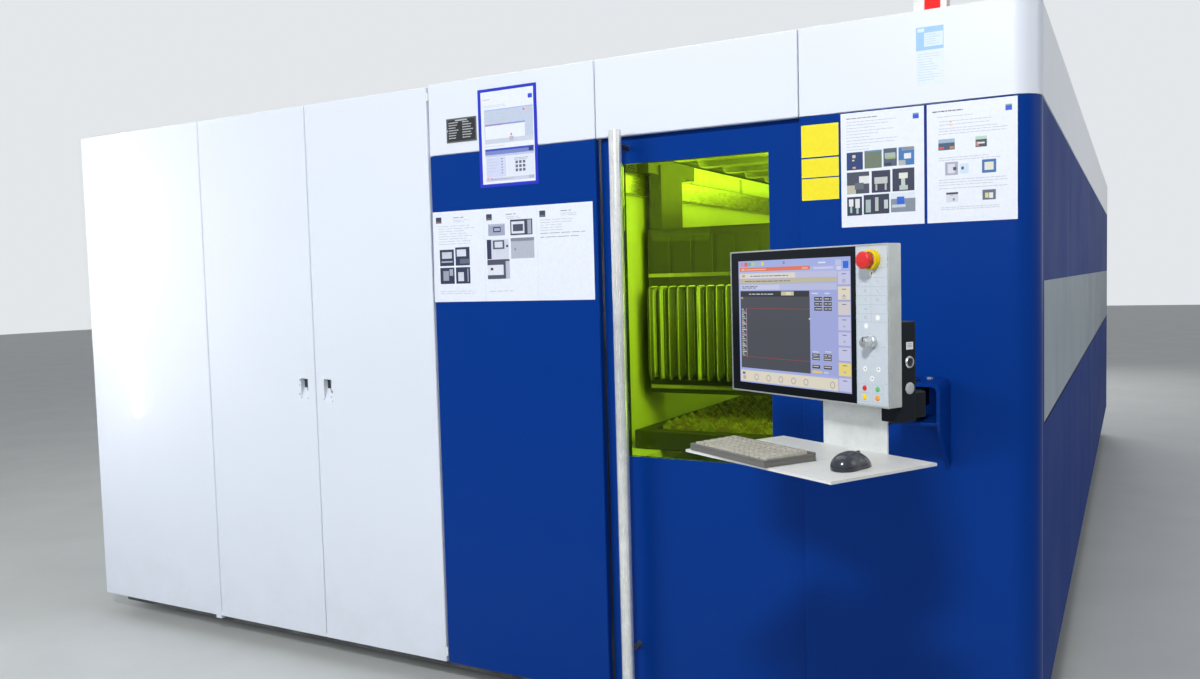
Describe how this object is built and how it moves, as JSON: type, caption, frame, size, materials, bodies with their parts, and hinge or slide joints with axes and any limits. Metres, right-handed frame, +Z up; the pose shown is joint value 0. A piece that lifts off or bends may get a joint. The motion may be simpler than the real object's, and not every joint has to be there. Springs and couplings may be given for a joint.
{
  "type": "fiber laser cutting machine",
  "caption": "Enclosed flatbed laser cutting machine with a sliding front door, a laser-safe window, an operator terminal on a swivel arm and a white control cabinet.",
  "frame": {"origin": "middle of the machine's footprint, on the floor", "axes": "+X to the operator's right along the front wall, +Y from the front into the machine, +Z up"},
  "size_m": [4.36, 8.867, 2.4993],
  "materials": {
    "white_paint": "satin powder coat, smooth, a soft long reflection",
    "blue_paint": "satin deep blue powder coat, slightly glossy",
    "dark_frame": "dark grey paint, dull",
    "galvanised": "bare zinc coated sheet, dull metal",
    "polished_tube": "polished stainless tube with lengthwise streaks",
    "brushed_stainless": "brushed stainless sheet, upright grain",
    "grey_paint": "light grey machine paint, satin",
    "laser_glass": "yellow-green laser protection pane, clear and glossy",
    "screen": "black touch glass, glossy",
    "key_film": "grey printed film, fine satin",
    "black_paint": "black structured paint, satin",
    "keyboard_plastic": "warm grey keyboard plastic, matt",
    "mouse_plastic": "dark blue-black plastic, glossy",
    "red_plastic": "red plastic, glossy",
    "orange_lens": "orange translucent lens, glossy",
    "button_plastic": "coloured plastic key cap, matt",
    "bellows_cloth": "coated black bellows cloth, soft sheen",
    "scale_steel": "slat steel with heat tint, slag and rust",
    "machined_steel": "machined steel guide, fine grain"
  },
  "bodies": {
    "machine": {"arm_bracket": "blue_paint", "base_frame": "dark_frame", "beacon": "orange_lens", "cabin_roof": "galvanised", "cabinet_carcass": "grey_paint", "cabinet_fixed_panel": "white_paint", "cooling_unit": "grey_paint", "door_track": "galvanised", "dust_extractor": "grey_paint", "equipped_mounting_plate": "galvanised", "front_header_corner": "white_paint", "front_header_door": "white_paint", "front_header_left": "white_paint", "front_panel_corner": "blue_paint", "front_panel_left": "blue_paint", "guide_beam_left": "machined_steel", "guide_beam_right": "machined_steel", "laser_source": "grey_paint", "left_side_wall": "white_paint", "levelling_foot_1": "galvanised", "levelling_foot_2": "galvanised", "levelling_foot_3": "galvanised", "levelling_foot_4": "galvanised", "rating_plate": "black_paint", "rear_panel_chamber": "blue_paint", "rear_panel_left": "white_paint", "scrap_conveyor": "dark_frame", "service_roof": "white_paint", "side_frame_left": "grey_paint", "side_frame_right": "grey_paint", "side_header": "white_paint", "side_wall": "blue_paint", "signal_lamp": "button_plastic"},
    "sliding_door": {"door_leaf": "blue_paint", "door_window": "laser_glass", "door_handle": "polished_tube"},
    "left_cabinet_door": {"cabinet_door_left": "white_paint"},
    "right_cabinet_door": {"cabinet_door_right": "white_paint"},
    "arm": {"swivel_arm": "black_paint"},
    "terminal": {"terminal_housing": "brushed_stainless", "terminal_rear_box": "black_paint", "support_plate": "brushed_stainless", "keyboard_shelf": "white_paint", "screen_glass": "screen", "key_strip": "key_film", "keyboard": "keyboard_plastic", "mouse": "mouse_plastic"},
    "stop_mushroom": {"estop_button": "red_plastic"},
    "feed_knob": {"override_knob": "galvanised"},
    "stop_key": {"button_stop": "red_plastic"},
    "start_key": {"button_start": "button_plastic"},
    "light_key": {"button_light": "button_plastic"},
    "reset_key": {"button_reset": "button_plastic"},
    "gantry": {"gantry_beam": "dark_frame", "bellows_left": "bellows_cloth", "bellows_right": "bellows_cloth"},
    "carriage": {"head_carriage": "dark_frame"},
    "head": {"cutting_head": "brushed_stainless"},
    "pallet": {"pallet_frame": "dark_frame", "pallet_slats": "scale_steel"}
  },
  "joints": [
    {"name": "door_slide", "type": "slide", "parent": "machine", "child": "sliding_door", "axis": [1, 0, 0], "range_m": [0, 0.6]},
    {"name": "left_cabinet_door_hinge", "type": "hinge", "parent": "machine", "child": "left_cabinet_door", "pos_m": [-1.328, -3.20703, 1.2], "axis": [0, 0, -1], "range_deg": [0, 110]},
    {"name": "right_cabinet_door_hinge", "type": "hinge", "parent": "machine", "child": "right_cabinet_door", "pos_m": [-0.014, -3.20703, 1.2], "axis": [0, 0, 1], "range_deg": [0, 110]},
    {"name": "arm_swivel", "type": "hinge", "parent": "machine", "child": "arm", "pos_m": [1.8535, -3.32153, 1.24], "axis": [0, 0, 1], "range_deg": [-50, 20]},
    {"name": "terminal_turn", "type": "hinge", "parent": "arm", "child": "terminal", "pos_m": [1.82845, -3.96377, 1.33], "axis": [0, 0, 1], "range_deg": [-45, 60]},
    {"name": "emergency_stop_push", "type": "slide", "parent": "terminal", "child": "stop_mushroom", "axis": [0.5, 0.866, 0], "range_m": [0, 0.005], "stiffness_N_per_m": 2500},
    {"name": "feed_knob_turn", "type": "hinge", "parent": "terminal", "child": "feed_knob", "pos_m": [1.91943, -4.17219, 1.475], "axis": [0.5, 0.866, 0], "range_deg": [-135, 135]},
    {"name": "stop_key_push", "type": "slide", "parent": "terminal", "child": "stop_key", "axis": [0.5, 0.866, 0], "range_m": [0, 0.0012], "stiffness_N_per_m": 400},
    {"name": "start_key_push", "type": "slide", "parent": "terminal", "child": "start_key", "axis": [0.5, 0.866, 0], "range_m": [0, 0.0012], "stiffness_N_per_m": 400},
    {"name": "light_key_push", "type": "slide", "parent": "terminal", "child": "light_key", "axis": [0.5, 0.866, 0], "range_m": [0, 0.0012], "stiffness_N_per_m": 400},
    {"name": "reset_key_push", "type": "slide", "parent": "terminal", "child": "reset_key", "axis": [0.5, 0.866, 0], "range_m": [0, 0.0012], "stiffness_N_per_m": 400},
    {"name": "gantry_travel", "type": "slide", "parent": "machine", "child": "gantry", "axis": [0, 1, 0], "range_m": [-0.1, 2.85]},
    {"name": "carriage_travel", "type": "slide", "parent": "gantry", "child": "carriage", "axis": [1, 0, 0], "range_m": [-0.72, 0.5], "deforming": ["bellows_left", "bellows_right"]},
    {"name": "head_lift", "type": "slide", "parent": "carriage", "child": "head", "axis": [0, 0, 1], "range_m": [-0.11, 0.05]},
    {"name": "pallet_travel", "type": "slide", "parent": "machine", "child": "pallet", "axis": [0, 1, 0], "range_m": [0, 3.1]}
  ]
}
